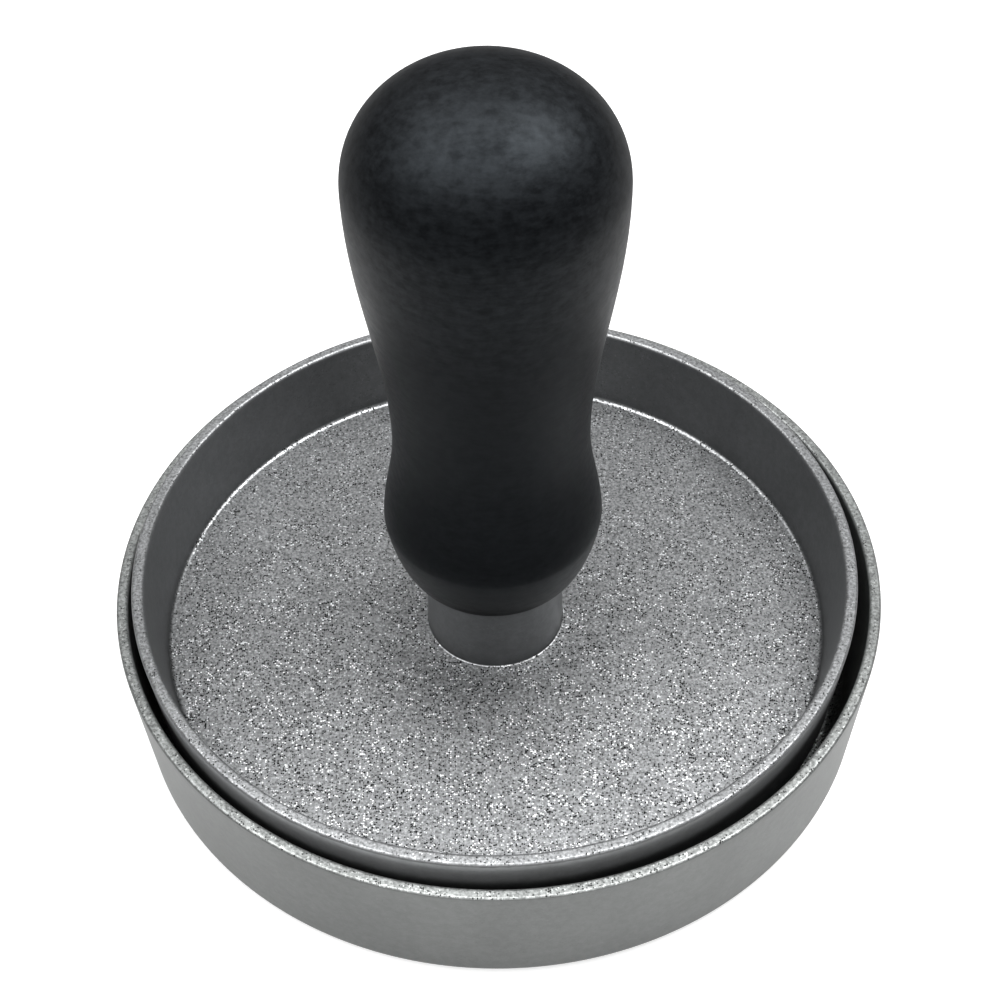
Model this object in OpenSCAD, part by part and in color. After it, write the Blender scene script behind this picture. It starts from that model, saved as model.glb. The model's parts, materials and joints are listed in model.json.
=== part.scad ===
// Round patty press: an outer mould, and a press dish with a tamper-shaped grip that drops into it.
// Millimetres. The origin is the centre of the mould's foot on the table, +Z up.

/* [Mould] */
// Outer diameter of the mould, just under its rim
mould_d = 120.4; // [116:0.2:128]
// Height of the mould, from the table to the top of its rim
mould_h = 22.8; // [21:0.1:26]
// Wall thickness of the mould at its rim
mould_wall = 1.8; // [1.5:0.1:2.5]
// Radius of the edges of both dishes' rims
rim_edge_r = 0.5; // [0.3:0.05:0.7]
// Slope of the mould's wall, in degrees from upright
mould_draft = 4.6; // [1:0.1:6]
// Thickness of the mould's floor, foot included
mould_floor = 3.2; // [2.5:0.1:4]
// Radius of the corner between the mould's wall and its foot
mould_corner_r = 1.8; // [1:0.1:2.5]
// Width of the ring that the mould stands on
foot_w = 7; // [4:0.5:12]
// Depth of the hollow inside that ring
foot_recess = 0.8; // [0.4:0.1:1.2]
// Height of the ring-shaped ridges on the mould's floor
ridge_h = 3; // [2:0.1:3.5]

/* [Press dish] */
// Outer diameter of the press dish at its rim
press_d = 113.5; // [104:0.1:114]
// How far the press dish's rim stands above the mould's rim
press_proud = 3.7; // [2:0.1:8]
// Depth of the press dish, from its rim to its floor
press_depth = 13.8; // [10:0.1:15]
// Wall thickness of the press dish at its rim
press_wall = 1.9; // [1.5:0.1:2.5]
// Wall thickness of the press dish at its floor
press_wall_low = 2.6; // [1.8:0.1:3]
// Slope of the press dish's inner wall, in degrees from upright
press_draft = 8.8; // [5:0.1:11]
// Thickness of the press dish's floor
press_floor = 3.8; // [3:0.1:4.5]
// Width of a rib under the press dish, at its lowest face
rib_w = 3; // [2:0.5:5]
// Number of ribs under the press dish
rib_count = 8; // [4:2:12]
// How far the loose press dish has slid to the right in the mould
press_shift_x = -0.6; // [-0.8:0.1:0.8]
// How far the loose press dish has slid towards the back of the mould
press_shift_y = -0.3; // [-0.8:0.1:0.8]

/* [Boss and thread] */
// Diameter of the boss in the middle of the press dish
boss_d = 21.6; // [18:0.2:22]
// Height of the boss above the press dish's floor
boss_h = 14; // [12:0.5:16]
// Outer diameter of the stud's thread
thread_d = 8; // [6:1:10]
// Length of thread that the boss holds
thread_in_boss = 10; // [8:0.5:11]
// Length of thread that the grip holds
thread_in_grip = 22; // [16:1:26]
// Gap between the stud and the boss's hole, on the radius
thread_gap = 0.05; // [0.02:0.01:0.1]

/* [Grip] */
// Diameter of the grip's head, at its widest
head_d = 38.5; // [34:0.1:42]
// Height of the head's widest place above the boss
head_z = 73.8; // [66:0.1:80]
// Height of the dome above the head's widest place
dome_h = 16.2; // [13:0.1:20]
// Fullness of the dome: 2 is an ellipse, and more is squarer
dome_fullness = 2.15; // [2:0.05:2.6]
// Diameter of the grip's waist
waist_d = 29.2; // [26:0.1:32]
// Height of the waist above the boss
waist_z = 28.9; // [26:0.1:32]
// Diameter of the bulb below the waist
bulb_d = 33.3; // [31:0.1:36]
// Height of the bulb's widest place above the boss
bulb_z = 11.8; // [10:0.1:15]
// Diameter of the grip's flat underside
grip_base_d = 22.8; // [22:0.2:25]

/* [Washer and insert] */
// Diameter of the washer
washer_d = 18; // [16:0.5:20]
// Thickness of the washer
washer_t = 1.6; // [1:0.1:2]
// Outer diameter of the threaded insert in the grip
insert_d = 12; // [11:0.5:14]
// Diameter of the insert's flange
insert_flange_d = 15; // [14.5:0.5:17]

/* [Hidden] */

coating = "#7d8082";
lacquer = "#1b1c1e";
steel = "#b9bcc0";
brass = "#b99a55";
fine = 180;
arc_steps = 10;
profile_steps = 28;

mould_r = mould_d / 2;
ridge_w = 3;
ridge_radii = [16, 32, 48];
emboss_flare = 0.8;
sink = 0.5;
ridge_top_z = mould_floor + ridge_h;

press_r = press_d / 2;
press_rim_z = mould_h + press_proud;
press_floor_z = press_rim_z - press_depth;
press_plate_z = press_floor_z - press_floor;
press_inner_low_r = press_r - press_wall - tan(press_draft) * press_depth;
press_outer_low_r = press_inner_low_r + press_wall_low;
press_corner_r = 3;
press_pad_r = 10;
floor_fillet_r = 0.8;

boss_r = boss_d / 2;
boss_top_z = press_floor_z + boss_h;
boss_edge_r = 0.5;

washer_stand = 0.2;
washer_play = 0.05;
insert_z = boss_top_z + washer_t;
insert_flange_t = 1.2;
insert_end_t = 2;
insert_length = thread_in_grip + insert_end_t;
stud_low_z = boss_top_z - thread_in_boss;
stud_top_z = insert_z + thread_in_grip;
stud_chamfer = 0.8;
drill_run_out = 1;

// Points of a circular arc, from angle a to angle b
function arc(centre, r, a, b) =
    [for (i = [0:arc_steps]) let (t = a + (b - a) * i / arc_steps) centre + r * [cos(t), sin(t)]];

// Points over a flat rim with rounded edges, from its outer edge to its inner edge
function lip(outer_r, wall, z) = concat(
    arc([outer_r - rim_edge_r, z], rim_edge_r, 0, 90),
    arc([outer_r - wall + rim_edge_r, z], rim_edge_r, 90, 180)
);

// An S-curve from 0 to 1, level at both ends
function s_curve(t) = (1 - cos(180 * t)) / 2;

// Points that swell or narrow smoothly from radius r0 at height z0 to radius r1 at height z1.
// A skew under 1 makes the change come sooner.
function swell(r0, z0, r1, z1, skew = 1) =
    [for (i = [1:profile_steps]) let (t = i / profile_steps)
        [r0 + (r1 - r0) * s_curve(pow(t, skew)), z0 + (z1 - z0) * t]];

// Moves what belongs to the press dish sideways with it, to where it has slid in the mould
module at_press() {
    translate([press_shift_x, press_shift_y, 0]) children();
}

// The outer dish. Its wall leans out, its rim is flat with rounded edges, and it stands on a ring.
module mould() {
    lip_z = mould_h - rim_edge_r;
    slope = tan(mould_draft);
    low_r = mould_r - slope * (lip_z - mould_corner_r);
    inner_corner_r = 2.5;
    extra_low_wall = 0.4;
    inner_low_r = mould_r - mould_wall - extra_low_wall - slope * (lip_z - mould_floor);
    color(coating) difference() {
        union() {
            rotate_extrude($fn = fine) polygon(concat(
                [[0, 0]],
                arc([low_r - mould_corner_r, mould_corner_r], mould_corner_r, -90, 0),
                lip(mould_r, mould_wall, lip_z),
                arc([inner_low_r - inner_corner_r, mould_floor + inner_corner_r], inner_corner_r, 0, -90),
                [[0, mould_floor]]
            ));
            for (r = ridge_radii) ridge(r);
        }
        translate([0, 0, -1])
            cylinder(r = low_r - mould_corner_r - foot_w, h = 1 + foot_recess, $fn = fine);
    }
}

// One ring-shaped ridge, sunk a little into the mould's floor so that the two are one casting
module ridge(r) {
    half = ridge_w / 2;
    rotate_extrude($fn = fine) polygon([
        [r - half - emboss_flare, mould_floor - sink], [r + half + emboss_flare, mould_floor - sink],
        [r + half, ridge_top_z], [r - half, ridge_top_z]
    ]);
}

// The inner dish that squeezes the meat, with its boss, and the ribs under it that rest on the ridges
module press_dish() {
    lip_z = press_rim_z - rim_edge_r;
    low_corner = [press_outer_low_r - press_corner_r, press_plate_z + press_corner_r];
    floor_fillet = [press_inner_low_r - floor_fillet_r, press_floor_z + floor_fillet_r];
    rib_end_r = low_corner.x - 1;
    color(coating) at_press() difference() {
        union() {
            rotate_extrude($fn = fine) polygon(concat(
                [[0, press_plate_z]],
                arc(low_corner, press_corner_r, -90, 0),
                lip(press_r, press_wall, lip_z),
                arc(floor_fillet, floor_fillet_r, 0, -90),
                [[boss_r, press_floor_z]],
                arc([boss_r - boss_edge_r, boss_top_z - boss_edge_r], boss_edge_r, 0, 90),
                [[0, boss_top_z]]
            ));
            for (i = [0:rib_count - 1]) rotate(i * 360 / rib_count) press_rib(rib_end_r);
            translate([0, 0, ridge_top_z])
                cylinder(r = press_pad_r, h = press_plate_z - ridge_top_z + sink, $fn = fine);
        }
        translate([0, 0, stud_low_z - drill_run_out])
            cylinder(d = thread_d + 2 * thread_gap, h = thread_in_boss + 2 * drill_run_out, $fn = fine);
    }
}

// One straight rib under the press dish, from inside its round pad out to end_r
module press_rib(end_r) {
    start_r = press_pad_r - 2;
    half = rib_w / 2;
    tall = press_plate_z - ridge_top_z + sink;
    translate([start_r, 0, ridge_top_z]) rotate([90, 0, 90]) linear_extrude(end_r - start_r) polygon([
        [-half, 0], [half, 0], [half + emboss_flare, tall], [-half - emboss_flare, tall]
    ]);
}

// The stud, whose thread is a plain shank at its outer diameter, with chamfered ends
module stud() {
    r = thread_d / 2;
    color(steel) at_press() rotate_extrude($fn = fine) polygon([
        [0, stud_low_z], [r - stud_chamfer, stud_low_z], [r, stud_low_z + stud_chamfer],
        [r, stud_top_z - stud_chamfer], [r - stud_chamfer, stud_top_z], [0, stud_top_z]
    ]);
}

// The flat washer that lies on the boss, a close fit in the grip's pocket so that it leaves with the grip
module washer() {
    bore_d = thread_d + 0.4;
    color(steel) at_press() translate([0, 0, boss_top_z]) difference() {
        cylinder(d = washer_d, h = washer_t, $fn = fine);
        translate([0, 0, -1]) cylinder(d = bore_d, h = washer_t + 2, $fn = fine);
    }
}

// The flanged metal sleeve in the grip, which holds the top of the stud
module grip_insert() {
    color(brass) at_press() translate([0, 0, insert_z]) difference() {
        union() {
            cylinder(d = insert_d, h = insert_length, $fn = fine);
            cylinder(d = insert_flange_d, h = insert_flange_t, $fn = fine);
        }
        translate([0, 0, -1]) cylinder(d = thread_d, h = thread_in_grip + 1, $fn = fine);
    }
}

// The outline of the grip above the boss, from its underside to the tip of its dome
function grip_outline() =
    let (
        base_r = grip_base_d / 2,
        bulb_r = bulb_d / 2,
        waist_r = waist_d / 2,
        head_r = head_d / 2,
        under_power = 1.5,
        bulb_skew = 0.83,
        rise = bulb_z - washer_stand,
        under = [for (i = [0:profile_steps]) let (a = 90 * i / profile_steps)
            [base_r + (bulb_r - base_r) * sin(a), bulb_z - rise * pow(cos(a), under_power)]],
        dome = [for (i = [1:profile_steps - 1]) let (a = 90 * i / profile_steps)
            [head_r * pow(cos(a), 2 / dome_fullness), head_z + dome_h * pow(sin(a), 2 / dome_fullness)]]
    )
    concat([[0, washer_stand]], under, swell(bulb_r, bulb_z, waist_r, waist_z, bulb_skew),
        swell(waist_r, waist_z, head_r, head_z), dome, [[0, head_z + dome_h]]);

// The black tamper-shaped grip, with a pocket for the washer and a stepped hole for its insert
module grip() {
    color(lacquer) at_press() translate([0, 0, boss_top_z]) difference() {
        rotate_extrude($fn = fine) polygon(grip_outline());
        translate([0, 0, -1]) cylinder(d = washer_d + 2 * washer_play, h = 1 + washer_t, $fn = fine);
        cylinder(d = insert_flange_d, h = washer_t + insert_flange_t, $fn = fine);
        cylinder(d = insert_d, h = washer_t + insert_length, $fn = fine);
    }
}

mould();
press_dish();
stud();
washer();
grip_insert();
grip();
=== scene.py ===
"""The looks of a round patty press: a speckled mould, the press dish that drops into it, and its black grip.

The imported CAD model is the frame. Every visible piece is a fine mesh built here on the CAD pieces' own boxes,
and rides on the CAD piece's body, so that the grip unscrews and the press dish lifts out.
"""
import json
import math

import bpy
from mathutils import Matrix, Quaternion, Vector


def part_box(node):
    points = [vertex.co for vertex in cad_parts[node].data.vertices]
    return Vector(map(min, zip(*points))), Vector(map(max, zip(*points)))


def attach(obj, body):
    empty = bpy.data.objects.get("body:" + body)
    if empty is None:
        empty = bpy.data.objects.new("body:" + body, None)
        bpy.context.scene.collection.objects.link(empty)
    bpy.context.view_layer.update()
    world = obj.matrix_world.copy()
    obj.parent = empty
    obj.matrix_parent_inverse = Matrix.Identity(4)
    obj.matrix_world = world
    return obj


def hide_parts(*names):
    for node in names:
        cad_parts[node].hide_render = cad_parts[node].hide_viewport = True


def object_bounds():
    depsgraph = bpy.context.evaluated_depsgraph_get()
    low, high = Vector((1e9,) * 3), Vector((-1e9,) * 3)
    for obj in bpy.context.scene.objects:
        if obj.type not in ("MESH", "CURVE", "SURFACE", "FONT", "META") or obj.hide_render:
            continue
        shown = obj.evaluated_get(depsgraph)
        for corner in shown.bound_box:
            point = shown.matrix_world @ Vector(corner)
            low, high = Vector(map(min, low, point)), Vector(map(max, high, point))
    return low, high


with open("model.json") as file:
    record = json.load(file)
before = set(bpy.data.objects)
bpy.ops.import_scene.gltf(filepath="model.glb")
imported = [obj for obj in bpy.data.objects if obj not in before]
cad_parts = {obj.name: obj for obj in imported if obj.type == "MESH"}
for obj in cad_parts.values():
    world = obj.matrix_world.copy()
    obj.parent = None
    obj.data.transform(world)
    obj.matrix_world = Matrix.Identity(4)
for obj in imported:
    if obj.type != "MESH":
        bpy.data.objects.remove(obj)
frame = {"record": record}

MM = 0.001
CAD_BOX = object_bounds()

# Boxes of the CAD pieces. The press dish and everything on it stand round the same upright axis.
MOULD_LOW, MOULD_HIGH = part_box("mould")
PRESS_LOW, PRESS_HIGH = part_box("press_dish")
STUD_LOW, STUD_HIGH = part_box("stud")
WASHER_LOW, WASHER_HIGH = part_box("washer")
INSERT_LOW, INSERT_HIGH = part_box("grip_insert")
GRIP_LOW, GRIP_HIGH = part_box("grip")
MOULD_AXIS = (MOULD_LOW + MOULD_HIGH) / 2
PRESS_AXIS = (PRESS_LOW + PRESS_HIGH) / 2

# How finely round pieces are divided, and the radius of the rounded edges of both rims.
SEGMENTS = 256
RIM_EDGE = 0.5 * MM


def half_width(low, high):
    """The outer radius of a round piece, from its box."""
    return (high.x - low.x) / 2


# Outlines -------------------------------------------------------------------------------------------------

def arc(centre_r, centre_z, radius, start, end, steps=10):
    """Points of a circular arc in an outline, from angle start to angle end in degrees."""
    points = []
    for i in range(steps + 1):
        angle = math.radians(start + (end - start) * i / steps)
        points.append((centre_r + radius * math.cos(angle), centre_z + radius * math.sin(angle)))
    return points


def line(start, end, steps):
    """Evenly spaced points between start and end, without the two ends."""
    return [tuple(a + (b - a) * i / steps for a, b in zip(start, end)) for i in range(1, steps)]


def lip(outer_r, wall, top):
    """Points over a flat rim with rounded edges, from its outer edge to its inner edge."""
    edge_z = top - RIM_EDGE
    return (arc(outer_r - RIM_EDGE, edge_z, RIM_EDGE, 0, 90, 8)
            + line((outer_r - RIM_EDGE, top), (outer_r - wall + RIM_EDGE, top), 4)
            + arc(outer_r - wall + RIM_EDGE, edge_z, RIM_EDGE, 90, 180, 8))


def swell(start, end, skew=1.0, steps=40):
    """Points that swell or narrow smoothly from start to end, and run upright at both ends.

    With a skew under 1, the change comes sooner.
    """
    points = []
    for i in range(1, steps + 1):
        t = i / steps
        share = (1 - math.cos(math.pi * t ** skew)) / 2
        points.append((start[0] + (end[0] - start[0]) * share, start[1] + (end[1] - start[1]) * t))
    return points


# Meshes ---------------------------------------------------------------------------------------------------

SHARP_ANGLE = math.radians(40)


def mesh_from_rings(name, rings, loop=False):
    """A closed surface through rings of points. A ring of one point is a pole. With loop, the last ring joins
    the first.
    """
    points, starts = [], []
    for ring in rings:
        starts.append(len(points))
        points.extend(ring)
    faces = []
    pairs = list(zip(range(len(rings)), range(1, len(rings))))
    if loop:
        pairs.append((len(rings) - 1, 0))
    for a, b in pairs:
        count = max(len(rings[a]), len(rings[b]))
        for i in range(count):
            j = (i + 1) % count
            low = [starts[a] + k % len(rings[a]) for k in (i, j)]
            high = [starts[b] + k % len(rings[b]) for k in (j, i)]
            faces.append(list(dict.fromkeys(low + high)))
    mesh = bpy.data.meshes.new(name)
    mesh.from_pydata(points, [], faces)
    mesh.validate()
    mesh.update()
    mesh.shade_smooth()
    mesh.set_sharp_from_angle(angle=SHARP_ANGLE)
    piece = bpy.data.objects.new(name, mesh)
    bpy.context.scene.collection.objects.link(piece)
    return piece


def ring(axis, radius, z, angles):
    """One ring of a turned piece, or a single point where the outline meets the axis."""
    if radius == 0:
        return [(axis.x, axis.y, z)]
    return [(axis.x + radius * math.cos(a), axis.y + radius * math.sin(a), z) for a in angles]


def even_angles(count):
    return [2 * math.pi * i / count for i in range(count)]


def lathe(name, outline, axis, segments=SEGMENTS, loop=False):
    """A turned piece: an outline of (radius, height) points, spun round an upright axis."""
    angles = even_angles(segments)
    return mesh_from_rings(name, [ring(axis, r, z, angles) for r, z in outline], loop)


def install(piece, node, body, material):
    """Lets a piece stand for a CAD node, on that node's body, with its material."""
    piece.data.materials.append(material)
    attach(piece, body)
    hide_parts(node)


# Materials ------------------------------------------------------------------------------------------------

# Colours that match the photo in this scene's light: each dish's coating, and the grip's lacquer.
MOULD_TINT = (0.303, 0.3145, 0.309)
PRESS_TINT = (0.305, 0.312, 0.318)
LACQUER_TINT = (0.005, 0.0055, 0.0063)
# The coating's grit: the size of its cells, how far the dark pattern is shifted from the bright one, and how
# much brighter and darker than the coating the dots are.
GRIT_SPACING = 0.3 * MM
DARK_PATTERN = (371 * MM, 113 * MM, 59 * MM)
GRIT_BRIGHT = 4.8
GRIT_DARK = 4.3
# The dots' strength where the coating is worn dull, and the painted shade on its walls beside its floors.
RUBBED_GRIT = 0.3
WALL_PAINTED_SHADE = 0.91
# Where the rim's coating is worn dull, and a band of painted light on the outer wall under it, as the start
# and the end of each blend: how far below the rim's top, on the rim and for the band outside it, and how far
# inside the dish's radius. The edges wave up and down by RUB_WAVE.
RIM_RUB = (0.8 * MM, 0.4 * MM)
LIT_BAND_HEIGHT = (7.2 * MM, 3.6 * MM)
LIT_BAND_DEPTH = (1.2 * MM, 0.8 * MM)
RUB_WAVE = 0.1 * MM
# The lacquer's mean gloss, and the share of it kept on the underside: painted shade, darker under the grip.
LACQUER_GLOSS = 0.215
UNDERSIDE_SHADE_GLOSS = 0.1


class Nodes:
    """A short way to wire a procedural material."""

    def __init__(self, name):
        self.material = bpy.data.materials.new(name)
        self.material.use_nodes = True
        self.tree = self.material.node_tree
        self.shader = self.tree.nodes["Principled BSDF"]
        self.place = self.add("ShaderNodeTexCoord", "Object")

    def plug(self, value, socket):
        if isinstance(value, bpy.types.NodeSocket):
            self.tree.links.new(value, socket)
        else:
            socket.default_value = value

    def add(self, kind, outlet, settings=None, **inputs):
        """A node of this kind, with its settings and inputs. Returns one outlet."""
        node = self.tree.nodes.new(kind)
        for key, value in (settings or {}).items():
            setattr(node, key, value)
        for key, value in inputs.items():
            self.plug(value, node.inputs[key.replace("_", " ")])
        return node.outputs[outlet]

    def operate(self, kind, operation, outlet, values):
        """A node that does arithmetic on these values, in the order of its inputs."""
        node = self.tree.nodes.new(kind)
        node.operation = operation
        for socket, value in zip(node.inputs, values):
            self.plug(value, socket)
        return node.outputs[outlet]

    def maths(self, operation, *values):
        return self.operate("ShaderNodeMath", operation, "Value", values)

    def vector(self, operation, outlet, *values):
        return self.operate("ShaderNodeVectorMath", operation, outlet, values)

    def noise(self, scale, detail=2.0, roughness=0.5, place=None):
        return self.add("ShaderNodeTexNoise", "Fac", Vector=place or self.place, Scale=scale,
                        Detail=detail, Roughness=roughness)

    def spread(self, value, low, high, to_low=0.0, to_high=1.0, smooth=True):
        """Maps value from low..high to to_low..to_high, and holds it there."""
        settings = {"interpolation_type": "SMOOTHSTEP" if smooth else "LINEAR"}
        return self.add("ShaderNodeMapRange", "Result", settings, Value=value, **{
            "From_Min": low, "From_Max": high, "To_Min": to_low, "To_Max": to_high})

    def stretched(self, x, y, z):
        """Places scaled by a share in each direction, for grain and turning marks."""
        return self.add("ShaderNodeMapping", "Vector", Vector=self.place, Scale=(x, y, z))

    def height(self):
        return self.add("ShaderNodeSeparateXYZ", "Z", Vector=self.place)

    def facing(self):
        """How far the surface faces up: 1 for a floor, 0 for a wall, -1 for an underside."""
        return self.add("ShaderNodeSeparateXYZ", "Z", Vector=self.add("ShaderNodeNewGeometry", "Normal"))

    def to_eye(self):
        """How squarely the surface faces the viewer: 1 when it does, and 0 when it is seen edge on."""
        geometry = self.tree.nodes.new("ShaderNodeNewGeometry").outputs
        return self.vector("DOT_PRODUCT", "Value", geometry["Incoming"], geometry["Normal"])

    def shade(self, colour, amount):
        """A plain colour times an amount."""
        return self.add("ShaderNodeVectorMath", "Vector", {"operation": "SCALE"},
                        Vector=tuple(colour[:3]), Scale=amount)

    def bump(self, height, distance, **more):
        return self.add("ShaderNodeBump", "Normal", Height=height, Distance=distance, Strength=1.0, **more)

    def finish(self, **inputs):
        """Wires the shader's inputs and returns the material."""
        for key, value in inputs.items():
            self.plug(value, self.shader.inputs[key.replace("_", " ")])
        return self.material


def dots(n, place, low, high):
    """Little round dots over a pattern of cells, in the share of the cells whose lot lies past low..high."""
    distance = n.add("ShaderNodeTexVoronoi", "Distance", Vector=place, Scale=1 / GRIT_SPACING)
    lot = n.add("ShaderNodeSeparateColor", "Red", Color=distance.node.outputs["Color"])
    return n.maths("MULTIPLY", n.spread(distance, 0.67, 0.2), n.spread(lot, low, high))


def grit(n):
    """Fine grit: its bright grains, and its dark ones, which lie in a pattern of their own."""
    apart = n.vector("ADD", "Vector", n.place, DARK_PATTERN)
    return dots(n, n.place, 0.75, 0.95), dots(n, apart, 0.7, 0.84)


def worn_rim_and_lit_band(n, axis, rim_z, outer_r, rim_gain, band_light_gain):
    """A worn dull rim, and a band of painted light outside under it: how much brighter, and how dull.

    Without a gain for the band, only the rim is worn dull, and no light is painted.
    """
    wavy = n.spread(n.noise(1 / (2 * MM), 3.0), 0.3, 0.7, -RUB_WAVE, RUB_WAVE)
    height = n.maths("ADD", n.height(), wavy)
    rim = n.spread(height, rim_z - RIM_RUB[0], rim_z - RIM_RUB[1])
    gain = n.maths("MULTIPLY_ADD", rim, rim_gain - 1, 1.0)
    if band_light_gain is None:
        return gain, rim
    from_axis = n.vector("MULTIPLY_ADD", "Vector", n.place, (1, 1, 0), (-axis.x, -axis.y, 0))
    from_axis = n.vector("LENGTH", "Value", from_axis)
    # Painted light: a band on the outer wall under the rim, made brighter and less metallic, as if lit from the
    # front.
    outside = n.spread(from_axis, outer_r - LIT_BAND_DEPTH[0], outer_r - LIT_BAND_DEPTH[1])
    side = n.maths("MULTIPLY", outside, n.spread(height, rim_z - LIT_BAND_HEIGHT[0], rim_z - LIT_BAND_HEIGHT[1]))
    side = n.maths("MULTIPLY", side, n.maths("SUBTRACT", 1.0, rim))
    return n.maths("MULTIPLY_ADD", side, band_light_gain - 1, gain), n.maths("ADD", rim, side)


def speckles_and_glints(n, to_eye, dull):
    """The coating's dots and grain, in patches, with painted glints where it is seen squarely."""
    bright, dark = grit(n)
    patches = n.spread(n.noise(1 / (2.3 * MM)), 0.4, 0.58, 0.3, 1.3)
    # Painted glint: the dots grow stronger as the coating is seen squarely, and fainter edge on or where worn
    # dull.
    painted_glint = n.maths("MULTIPLY", patches, n.spread(to_eye, 0.71, 0.84, 0.28, 1.1, smooth=False))
    painted_glint = n.maths("MULTIPLY", painted_glint, n.spread(dull, 0.0, 1.0, 1.0, RUBBED_GRIT))
    grain = n.spread(n.noise(1 / (0.45 * MM)), 0.3, 0.7, -0.5, 0.5, smooth=False)
    all_dots = n.maths("MULTIPLY_ADD", bright, GRIT_BRIGHT, n.maths("MULTIPLY", dark, -GRIT_DARK))
    return n.maths("MULTIPLY_ADD", all_dots, painted_glint, grain)


def painted_flop_highlight(n, facing, to_eye):
    """Painted highlight: the coating brightens towards the viewer, most of all on edges that slope."""
    # Painted highlight by viewing angle, easing off where the coating is seen face on.
    amount = n.maths("MULTIPLY", n.spread(to_eye, 0.765, 0.85, 0.66, 1.12, smooth=False),
                     n.spread(to_eye, 0.88, 0.98, 1.0, 0.75))
    # Painted edge highlight: sloped edges that face the viewer are brightened.
    sloped = n.maths("MULTIPLY", n.spread(facing, 0.15, 0.4), n.spread(facing, 0.97, 0.93))
    painted_edge_highlight = n.maths("MULTIPLY", sloped, n.spread(to_eye, 0.87, 0.97))
    return n.maths("MULTIPLY_ADD", amount, painted_edge_highlight, amount)


def coating(name, tint, *rub_and_band):
    """Grey non-stick coating: satin metallic paint with grit, and painted glints where it faces up."""
    n = Nodes(name)
    facing, to_eye = n.facing(), n.to_eye()
    # gain carries the painted band of light; dull marks the worn rim and that band, which is made less
    # metallic.
    gain, dull = worn_rim_and_lit_band(n, *rub_and_band)
    # Painted glint: the dots show mostly where the coating faces up towards the light overhead.
    speckle_and_glint = n.maths("MULTIPLY", speckles_and_glints(n, to_eye, dull), n.spread(facing, 0.25, 0.9, 0.06, 1.0))
    cloud = n.spread(n.noise(1 / (14 * MM), 3.0), 0.3, 0.7, 0.95, 1.05)
    mottle = n.spread(n.noise(1 / (1.3 * MM), 3.0, 0.6), 0.3, 0.7, 0.94, 1.06)
    body = n.maths("MULTIPLY", cloud, mottle)
    # Painted shade on the walls, painted highlights towards the viewer, and the painted band of light under the
    # rim.
    for share in (n.spread(facing, 0.3, 0.95, WALL_PAINTED_SHADE, 1.0), painted_flop_highlight(n, facing, to_eye), gain):
        body = n.maths("MULTIPLY", body, share)
    amount = n.maths("MULTIPLY_ADD", speckle_and_glint, body, body)
    return n.finish(
        Base_Color=n.shade(tint, n.maths("MAXIMUM", amount, 0.03)),
        Metallic=n.spread(dull, 0.0, 1.0, 0.9, 0.45),
        Roughness=n.spread(facing, 0.95, 0.99, 0.36, 0.54),
        Normal=n.bump(n.noise(1 / (0.8 * MM)), 0.015 * MM))


def lacquer(name, tint):
    """Black satin lacquer over turned wood, with a faint blue sheen, scuffed where a palm rubs its dome."""
    n = Nodes(name)
    worn = n.spread(n.height(), GRIP_HIGH.z - 45 * MM, GRIP_HIGH.z - 16 * MM, 0.35, 1.0)
    mottle = n.noise(1 / (1.7 * MM), 4.0, 0.65)
    scuff = n.noise(1 / (1.1 * MM), 3.0, 0.6, n.stretched(0.5, 0.8, 1.6))
    turning = n.noise(1 / (3 * MM), 3.0, 0.6, n.stretched(0.25, 0.25, 3.0))
    patches = n.maths("ADD", n.spread(mottle, 0.3, 0.7, -0.22, 0.22), n.spread(scuff, 0.3, 0.7, -0.2, 0.2))
    patches = n.maths("MULTIPLY", patches, worn)
    amount = n.maths("ADD", patches, n.spread(turning, 0.3, 0.7, 0.95, 1.05))
    gloss = n.maths("MULTIPLY_ADD", patches, LACQUER_GLOSS, LACQUER_GLOSS)
    # Painted shade: the underside reflects less, so the grip reads darker underneath.
    gloss = n.maths("MULTIPLY", gloss, n.spread(n.facing(), -0.5, 0.05, UNDERSIDE_SHADE_GLOSS, 1.0))
    rough = n.spread(scuff, 0.3, 0.7, 0.38, 0.46)
    relief = n.bump(turning, 0.008 * MM, Normal=n.bump(n.maths("MULTIPLY", scuff, worn), 0.012 * MM))
    return n.finish(
        Base_Color=n.shade(tint, amount),
        Roughness=rough,
        Specular_IOR_Level=gloss,
        Specular_Tint=(0.79, 0.9, 1.0, 1.0),
        Normal=relief)


def machined(name, tint, roughness):
    """Bare turned metal, with fine rings and dull patches."""
    n = Nodes(name)
    rings = n.noise(1 / (0.4 * MM), 3.0, 0.6, n.stretched(0.2, 0.2, 3.0))
    dull = n.noise(1 / (4 * MM), 4.0)
    amount = n.maths("MULTIPLY", n.spread(rings, 0.3, 0.7, 0.88, 1.08), n.spread(dull, 0.3, 0.7, 0.9, 1.05))
    return n.finish(
        Base_Color=n.shade(tint, amount),
        Metallic=1.0,
        Roughness=n.spread(dull, 0.3, 0.7, roughness, roughness + 0.12),
        Normal=n.bump(rings, 0.01 * MM))


def slot_colour(slot):
    return next(m["base_color"] for m in frame["record"]["materials"] if m["slot"] == slot)


# The dishes -----------------------------------------------------------------------------------------------

MOULD_WALL = 1.8 * MM
MOULD_SLOPE = math.tan(math.radians(4.6))
MOULD_FLOOR = 3.2 * MM
RIDGE_TOP = PRESS_LOW.z
RIDGE_RADII = [16 * MM, 32 * MM, 48 * MM]
RIDGE_HALF = 1.5 * MM
EMBOSS_FLARE = 0.8 * MM
EMBOSS_ROUND = 0.35 * MM


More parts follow.
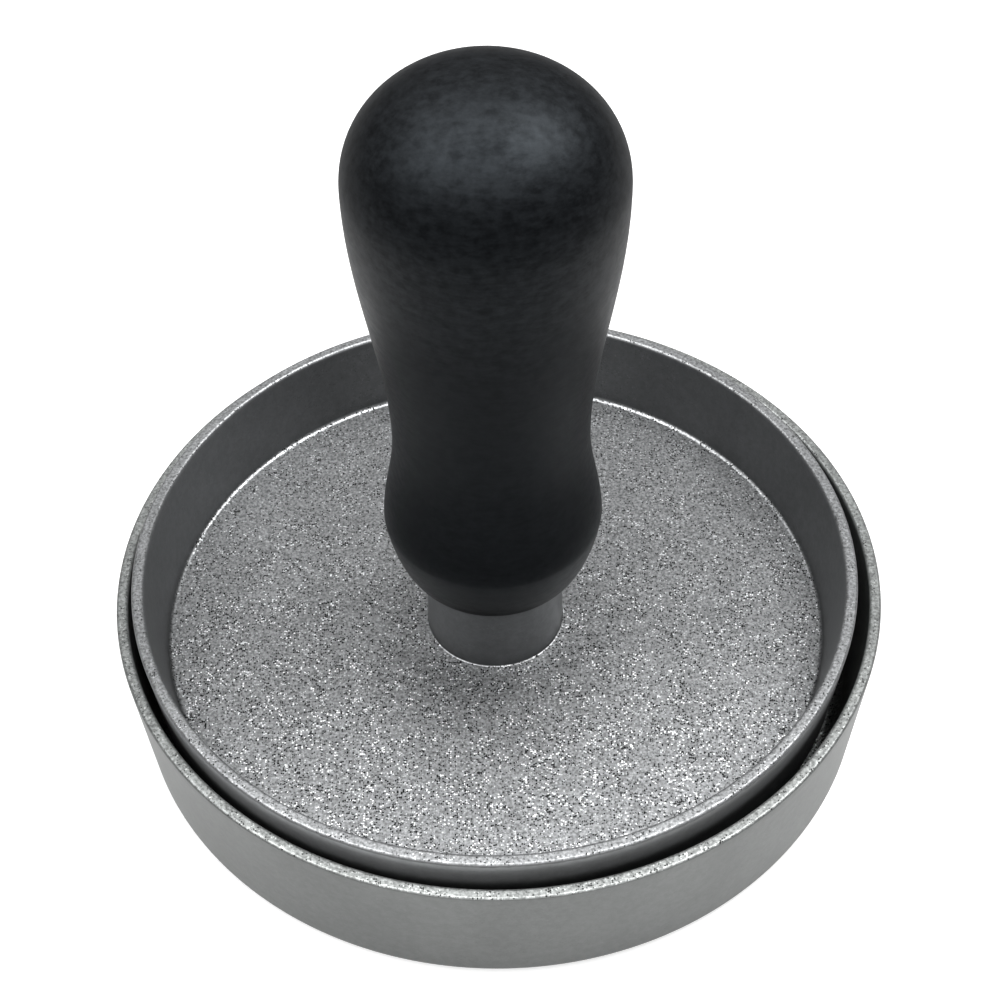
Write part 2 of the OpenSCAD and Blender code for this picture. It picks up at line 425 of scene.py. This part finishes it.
def ridge_section(radius, base_z):
    """The outline across one ridge, from its outer foot to its inner foot, with softened edges."""
    top, foot, soft = RIDGE_TOP, RIDGE_HALF + EMBOSS_FLARE, EMBOSS_ROUND
    side = [(foot + soft, base_z), (foot, base_z + 0.1 * soft), (foot - soft / 2, base_z + soft),
            (RIDGE_HALF + soft / 3, top - soft), (RIDGE_HALF, top - 0.3 * soft), (RIDGE_HALF - soft, top)]
    return [(radius + x, z) for x, z in side] + [(radius - x, z) for x, z in reversed(side)]


def build_mould(material):
    """The outer dish, with its flat rim, ring-shaped ridges and foot ring."""
    radius, height = half_width(MOULD_LOW, MOULD_HIGH), MOULD_HIGH.z
    lip_z = height - RIM_EDGE
    corner, inner_corner = 1.8 * MM, 2.5 * MM
    extra_low_wall = 0.4 * MM
    foot_width, recess, foot_edge = 7 * MM, 0.8 * MM, 0.3 * MM
    low_r = radius - MOULD_SLOPE * (lip_z - corner)
    inner_low_r = radius - MOULD_WALL - extra_low_wall - MOULD_SLOPE * (lip_z - MOULD_FLOOR)
    foot_inner_r = low_r - corner - foot_width
    outline = [(0, recess), (foot_inner_r / 2, recess), (foot_inner_r - foot_edge, recess)]
    outline += [(foot_inner_r, recess - foot_edge), (foot_inner_r, foot_edge), (foot_inner_r + foot_edge, 0)]
    outline += arc(low_r - corner, corner, corner, -90, 0)
    outline += line(outline[-1], (radius, lip_z), 12)
    outline += lip(radius, MOULD_WALL, height)
    outline += line(outline[-1], (inner_low_r, MOULD_FLOOR + inner_corner), 12)
    outline += arc(inner_low_r - inner_corner, MOULD_FLOOR + inner_corner, inner_corner, 0, -90)
    for ridge_r in reversed(RIDGE_RADII):
        outline += ridge_section(ridge_r, MOULD_FLOOR)
    outline += [(RIDGE_RADII[0] / 2, MOULD_FLOOR), (0, MOULD_FLOOR)]
    install(lathe("Mould", outline, MOULD_AXIS), "mould", "mould", material)


BOSS_R = 10.8 * MM
BOSS_HEIGHT = 14 * MM
BOSS_EDGE = 0.5 * MM
BOSS_FILLET = 0.3 * MM
PRESS_DEPTH = 13.8 * MM
PRESS_WALL = 1.9 * MM
PRESS_WALL_LOW = 2.6 * MM
PRESS_SLOPE = math.tan(math.radians(8.8))
PRESS_FLOOR = 3.8 * MM
PRESS_CORNER = 3 * MM
FLOOR_FILLET = 0.8 * MM
BORE_R = 4.05 * MM
BORE_EDGE = 0.4 * MM
RIB_COUNT = 8
RIB_HALF = 1.5 * MM
RIB_EDGE = 0.3 * EMBOSS_ROUND
PAD_R = 10 * MM


def rib_angles(radius):
    """Angles of a ring's points under the press dish, which follow both edges of every rib."""
    between = 24
    angles = []
    for k in range(RIB_COUNT):
        middle = 2 * math.pi * k / RIB_COUNT
        following = 2 * math.pi * (k + 1) / RIB_COUNT
        widths = (RIB_HALF + EMBOSS_FLARE, RIB_HALF, RIB_HALF - EMBOSS_ROUND)
        edges = [math.asin(min(1, width / radius)) for width in widths]
        offsets = [-edges[0], -edges[1], -edges[2], 0, edges[2], edges[1]]
        angles += [middle + offset for offset in offsets]
        start, end = middle + edges[0], following - edges[0]
        angles += [start + (end - start) * i / between for i in range(between)]
    return angles


def rib_ring(radius, plate_z, rib_z):
    """One ring under the press dish: rib_z on the ribs and plate_z between them."""
    heights = [plate_z, rib_z + RIB_EDGE, rib_z, rib_z, rib_z, rib_z + RIB_EDGE]
    angles = rib_angles(radius)
    per_rib = len(angles) // RIB_COUNT
    points = []
    for i, angle in enumerate(angles):
        k = i % per_rib
        z = heights[k] if k < len(heights) else plate_z
        points.append((PRESS_AXIS.x + radius * math.cos(angle), PRESS_AXIS.y + radius * math.sin(angle), z))
    return points


def build_press_dish(material):
    """The inner dish: its ribbed underside, leaning wall with a flat rim, flat floor and round boss."""
    radius, boss_top, low = half_width(PRESS_LOW, PRESS_HIGH), PRESS_HIGH.z, PRESS_LOW.z
    floor_z = boss_top - BOSS_HEIGHT
    rim_z = floor_z + PRESS_DEPTH
    plate_z = floor_z - PRESS_FLOOR
    lip_z = rim_z - RIM_EDGE
    inner_low_r = radius - PRESS_WALL - PRESS_SLOPE * PRESS_DEPTH
    outer_low_r = inner_low_r + PRESS_WALL_LOW
    rib_end = outer_low_r - PRESS_CORNER - 1 * MM
    wall_angles = rib_angles(rib_end)

    rings = [[(PRESS_AXIS.x, PRESS_AXIS.y, low)]]
    rings += [ring(PRESS_AXIS, r, low, rib_angles(PAD_R)) for r in (PAD_R * 0.4, PAD_R - EMBOSS_ROUND)]
    rings.append(rib_ring(PAD_R, low + RIB_EDGE, low))
    rings.append(rib_ring(PAD_R + 0.2 * MM, plate_z, low))
    rib_steps = 14
    for i in range(1, rib_steps + 1):
        rings.append(rib_ring(PAD_R + (rib_end - PAD_R) * i / rib_steps, plate_z, low))
    rings.append(rib_ring(rib_end + 0.15 * MM, plate_z, low + RIB_EDGE))
    outline = [(rib_end + 0.5 * MM, plate_z)]
    outline += arc(outer_low_r - PRESS_CORNER, plate_z + PRESS_CORNER, PRESS_CORNER, -90, 0)
    outline += line(outline[-1], (radius, lip_z), 10)
    outline += lip(radius, PRESS_WALL, rim_z)
    outline += line(outline[-1], (inner_low_r, floor_z + FLOOR_FILLET), 10)
    outline += arc(inner_low_r - FLOOR_FILLET, floor_z + FLOOR_FILLET, FLOOR_FILLET, 0, -90, 8)
    outline += line(outline[-1], (BOSS_R + BOSS_FILLET, floor_z), 10)
    outline += arc(BOSS_R + BOSS_FILLET, floor_z + BOSS_FILLET, BOSS_FILLET, -90, -180, 5)
    outline += line(outline[-1], (BOSS_R, boss_top - BOSS_EDGE), 6)
    outline += arc(BOSS_R - BOSS_EDGE, boss_top - BOSS_EDGE, BOSS_EDGE, 0, 90, 6)
    bore_low = STUD_LOW.z - 1 * MM
    outline += [(BORE_R + BORE_EDGE, boss_top), (BORE_R, boss_top - BORE_EDGE)]
    outline += [(BORE_R, bore_low), (0, bore_low)]
    rings += [ring(PRESS_AXIS, r, z, wall_angles) for r, z in outline]
    piece = mesh_from_rings("PressDish", rings)
    install(piece, "press_dish", "press", material)


# The grip and what holds it -------------------------------------------------------------------------------

# The insert's sleeve and flange, which the grip's hollow follows.
SLEEVE_R = 6 * MM
FLANGE_THICK = 1.2 * MM


def grip_outline():
    """The grip from its underside to the tip of its dome: bulb, waist, head and dome."""
    low, top = GRIP_LOW.z, GRIP_HIGH.z
    head_r = half_width(GRIP_LOW, GRIP_HIGH)
    boss_top = PRESS_HIGH.z
    dome_h, dome_fullness = 16.2 * MM, 2.15
    head = (head_r, top - dome_h)
    waist = (14.6 * MM, boss_top + 28.9 * MM)
    bulb = (16.65 * MM, boss_top + 11.8 * MM)
    base_r, under_power, bulb_skew, steps = 11.4 * MM, 1.5, 0.83, 32
    outline = []
    for i in range(steps + 1):
        angle = math.pi / 2 * i / steps
        outline.append((base_r + (bulb[0] - base_r) * math.sin(angle),
                        bulb[1] - (bulb[1] - low) * max(0, math.cos(angle)) ** under_power))
    outline += swell(bulb, waist, bulb_skew)
    outline += swell(waist, head)
    for i in range(1, steps + 1):
        angle = math.pi / 2 * i / steps
        outline.append((head_r * max(0, math.cos(angle)) ** (2 / dome_fullness),
                        head[1] + dome_h * math.sin(angle) ** (2 / dome_fullness)))
    outline[-1] = (0, top)
    return outline


def build_grip(material):
    """The grip, hollowed for the washer and the insert."""
    low = GRIP_LOW.z
    pocket_r = half_width(WASHER_LOW, WASHER_HIGH) + 0.05 * MM
    flange_r = half_width(INSERT_LOW, INSERT_HIGH)
    flange_top = INSERT_LOW.z + FLANGE_THICK
    edge = 0.3 * MM
    hollow = [(0, INSERT_HIGH.z), (SLEEVE_R, INSERT_HIGH.z), (SLEEVE_R, flange_top), (flange_r, flange_top),
              (flange_r, WASHER_HIGH.z), (pocket_r, WASHER_HIGH.z), (pocket_r, low + edge)]
    hollow.append((pocket_r + edge, low))
    install(lathe("Grip", hollow + grip_outline(), PRESS_AXIS), "grip", "grip", material)


def height_map_lathe(name, radius_at, low, high, axis, segments, rows):
    """A capped shaft whose radius is a function of angle and height, such as a thread."""
    angles = even_angles(segments)
    rings = [[(axis.x, axis.y, low)]]
    for i in range(rows + 1):
        z = low + (high - low) * i / rows
        rings.append([(axis.x + radius_at(a, z) * math.cos(a), axis.y + radius_at(a, z) * math.sin(a), z)
                      for a in angles])
    rings.append([(axis.x, axis.y, high)])
    return mesh_from_rings(name, rings)


def build_stud(material):
    """The stud with its helical thread, which tapers off at both ends."""
    crest = half_width(STUD_LOW, STUD_HIGH)
    pitch, depth, chamfer = 1.25 * MM, 0.68 * MM, 0.8 * MM
    root_share, flank_slope = 1.15, 2.6
    low, high = STUD_LOW.z, STUD_HIGH.z

    def radius_at(angle, z):
        turn = ((z - low) / pitch - angle / (2 * math.pi)) % 1
        groove = min(1, max(0, root_share - flank_slope * abs(turn - 0.5)))
        end = min(z - low, high - z)
        return min(crest - depth * groove, crest - chamfer + end)

    piece = height_map_lathe("Stud", radius_at, low, high, PRESS_AXIS, 64, 270)
    install(piece, "stud", "grip", material)


def build_washer(material):
    """The flat washer, with the rounded upper edge and sharp lower edge of a stamping."""
    outer, low, high = half_width(WASHER_LOW, WASHER_HIGH), WASHER_LOW.z, WASHER_HIGH.z
    bore, soft, sharp = 4.2 * MM, 0.3 * MM, 0.05 * MM
    outline = [(bore, low), (outer - sharp, low), (outer, low + sharp)]
    outline += arc(outer - soft, high - soft, soft, 0, 90, 6)
    outline += arc(bore + soft, high - soft, soft, 90, 180, 6)
    install(lathe("Washer", outline, PRESS_AXIS, 128, loop=True), "washer", "washer", material)


def build_insert(material):
    """The threaded insert: a flange, a sleeve with ring grooves and a closed end."""
    flange_r, low, high = half_width(INSERT_LOW, INSERT_HIGH), INSERT_LOW.z, INSERT_HIGH.z
    bore, soft, end_edge = half_width(STUD_LOW, STUD_HIGH), 0.15 * MM, 0.4 * MM
    flange_top = low + FLANGE_THICK
    outline = [(0, STUD_HIGH.z), (bore, STUD_HIGH.z), (bore, low + soft), (bore + soft, low)]
    outline += [(flange_r - soft, low), (flange_r, low + soft), (flange_r, flange_top - soft)]
    outline += [(flange_r - soft, flange_top), (SLEEVE_R, flange_top)]
    groove_count, groove_depth, plain_end = 9, 0.35 * MM, 0.5 * MM
    groove_r = SLEEVE_R - groove_depth
    pitch = (high - flange_top - 2 * plain_end) / groove_count
    for i in range(groove_count):
        z = flange_top + plain_end + pitch * i
        outline += [(SLEEVE_R, z + 0.15 * pitch), (groove_r, z + 0.3 * pitch)]
        outline += [(groove_r, z + 0.7 * pitch), (SLEEVE_R, z + 0.85 * pitch)]
    outline += [(SLEEVE_R, high - end_edge), (SLEEVE_R - end_edge, high), (0, high)]
    install(lathe("GripInsert", outline, PRESS_AXIS, 96), "grip_insert", "grip", material)


# Stage, light and camera ----------------------------------------------------------------------------------

FLOOR_RADIUS = 4.0
FLOOR_GAP = 0.1 * MM
LIGHT_TARGET = (0, 0, 0.05)


def build_floor():
    """A wide pale floor just under the object. It reflects less in the object the further off it is."""
    bpy.ops.mesh.primitive_circle_add(vertices=64, radius=FLOOR_RADIUS, fill_type="NGON",
                                      location=(0, 0, CAD_BOX[0].z - FLOOR_GAP))
    floor = bpy.context.object
    floor.name = "Floor"
    n = Nodes("PaleFloor")
    seen = n.add("ShaderNodeLightPath", "Is Camera Ray")
    near = n.spread(n.vector("LENGTH", "Value", n.place), 0.08, 0.16, 1.0, 0.4)
    share = n.maths("MAXIMUM", near, seen)
    pale = n.spread(n.noise(20.0), 0.3, 0.7, 0.54, 0.55)
    glow = n.maths("MAXIMUM", n.maths("MULTIPLY", near, 0.35), n.maths("MULTIPLY", seen, 0.7))
    floor.data.materials.append(n.finish(
        Base_Color=n.shade((1, 1, 1), n.maths("MULTIPLY", share, pale)),
        Roughness=0.8,
        Specular_IOR_Level=0.0,
        Emission_Color=(1, 1, 1, 1),
        Emission_Strength=glow))


def add_softbox(name, place, size, power):
    """A square area light that faces the object."""
    light = bpy.data.lights.new(name, "AREA")
    light.size = size
    light.energy = power
    lamp = bpy.data.objects.new(name, light)
    lamp.location = place
    lamp.rotation_mode = "QUATERNION"
    lamp.rotation_quaternion = (Vector(LIGHT_TARGET) - Vector(place)).to_track_quat("-Z", "Y")
    bpy.context.scene.collection.objects.link(lamp)


def build_light():
    """A white surround that is brightest overhead, a wide soft light above and a smaller one at each side."""
    world = bpy.data.worlds.new("Studio")
    world.use_nodes = True
    tree = world.node_tree
    direction = tree.nodes.new("ShaderNodeTexCoord")
    height = tree.nodes.new("ShaderNodeSeparateXYZ")
    glow = tree.nodes.new("ShaderNodeMapRange")
    for key, value in (("From Min", 0.05), ("From Max", 1.0), ("To Min", 0.03), ("To Max", 0.8)):
        glow.inputs[key].default_value = value
    seen = tree.nodes.new("ShaderNodeLightPath")
    brighter = tree.nodes.new("ShaderNodeMath")
    brighter.operation = "MAXIMUM"
    tree.links.new(direction.outputs["Generated"], height.inputs[0])
    tree.links.new(height.outputs["Z"], glow.inputs["Value"])
    tree.links.new(glow.outputs["Result"], brighter.inputs[0])
    tree.links.new(seen.outputs["Is Camera Ray"], brighter.inputs[1])
    tree.links.new(brighter.outputs[0], tree.nodes["Background"].inputs["Strength"])
    tree.nodes["Background"].inputs["Color"].default_value = (1, 1, 1, 1)
    bpy.context.scene.world = world
    add_softbox("Overhead", (-0.06, 0, 0.85), 1.0, 7.4)
    add_softbox("RightSpot", (0.45, 0.12, 0.76), 0.4, 3.8)
    add_softbox("LeftFill", (-0.54, -0.1, 0.68), 0.5, 1.2)
    bpy.context.scene.view_settings.view_transform = "Standard"


def build_camera():
    """A camera above the front, slightly rolled, that looks down past the dome of the grip."""
    place, target = Vector((0, -0.2138, 0.2691)), Vector((0.0005, 0, 0.0394))
    roll = math.radians(-1.073)
    camera = bpy.data.cameras.new("Camera")
    camera.lens, camera.sensor_width = 74.0, 36
    camera.clip_start, camera.clip_end = 0.01, 20
    eye = bpy.data.objects.new("Camera", camera)
    eye.location = place
    eye.rotation_mode = "QUATERNION"
    eye.rotation_quaternion = (target - place).to_track_quat("-Z", "Y") @ Quaternion((0, 0, 1), roll)
    bpy.context.scene.collection.objects.link(eye)
    bpy.context.scene.camera = eye


steel = machined("PlatedSteel", slot_colour("steel"), 0.25)
brass = machined("TurnedBrass", slot_colour("brass"), 0.3)
mould_r, press_r = half_width(MOULD_LOW, MOULD_HIGH), half_width(PRESS_LOW, PRESS_HIGH)
press_rim_z = PRESS_HIGH.z - BOSS_HEIGHT + PRESS_DEPTH
mould_coating = coating("MouldCoating", MOULD_TINT, MOULD_AXIS, MOULD_HIGH.z, mould_r, 1.0, None)
# The press coating's last number brightens its painted band of light under the rim.
press_coating = coating("PressCoating", PRESS_TINT, PRESS_AXIS, press_rim_z, press_r, 1.0, 2.4)
build_mould(mould_coating)
build_press_dish(press_coating)
build_stud(steel)
build_washer(steel)
build_insert(brass)
build_grip(lacquer("BlackLacquer", LACQUER_TINT))
build_floor()
build_light()
build_camera()
